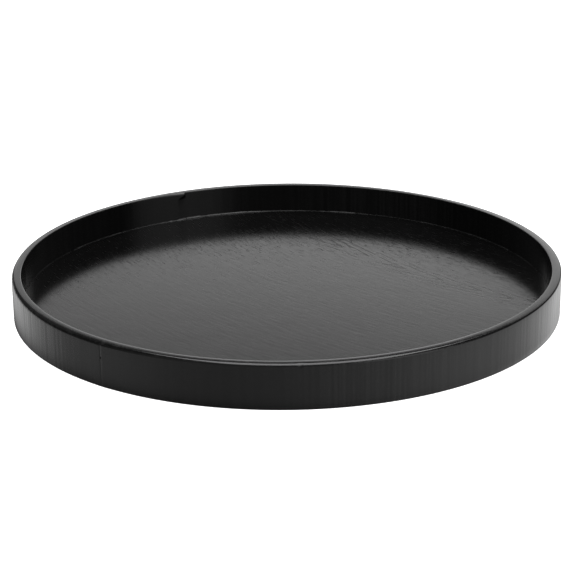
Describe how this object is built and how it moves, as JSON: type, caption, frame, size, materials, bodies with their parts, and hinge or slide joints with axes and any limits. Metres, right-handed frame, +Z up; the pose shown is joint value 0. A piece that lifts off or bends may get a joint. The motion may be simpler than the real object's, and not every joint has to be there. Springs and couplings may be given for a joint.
{
  "type": "serving tray",
  "caption": "Round bent-plywood serving tray with a flat veneered floor inside a low straight rim, lacquered satin black.",
  "frame": {"origin": "centre of the rim's foot, on the surface that the tray stands on", "axes": "+Z up through the centre of the tray; the rim's outer joint is at front left (-X, -Y) and its lapped inner joint at back left (-X, +Y)"},
  "size_m": [0.33, 0.33, 0.026],
  "materials": {
    "black_lacquered_wood": "satin black lacquer over fine vertical wood grain",
    "black_lacquered_veneer": "satin black lacquer over open-grained veneer",
    "bare_wood": "bare, hidden inside the board",
    "lacquered_glue": "dried glue under black lacquer"
  },
  "bodies": {
    "root": {"rim_outer_face_ply": "black_lacquered_wood", "rim_outer_crossband": "black_lacquered_wood", "rim_core_ply": "black_lacquered_wood", "rim_inner_crossband": "black_lacquered_wood", "rim_inner_face_ply": "black_lacquered_wood", "base_floor_veneer": "black_lacquered_veneer", "base_upper_crossband": "bare_wood", "base_core_ply": "bare_wood", "base_lower_crossband": "bare_wood", "base_back_veneer": "black_lacquered_veneer", "floor_glue_fillet": "lacquered_glue", "underside_glue_fillet": "lacquered_glue"}
  },
  "joints": []
}
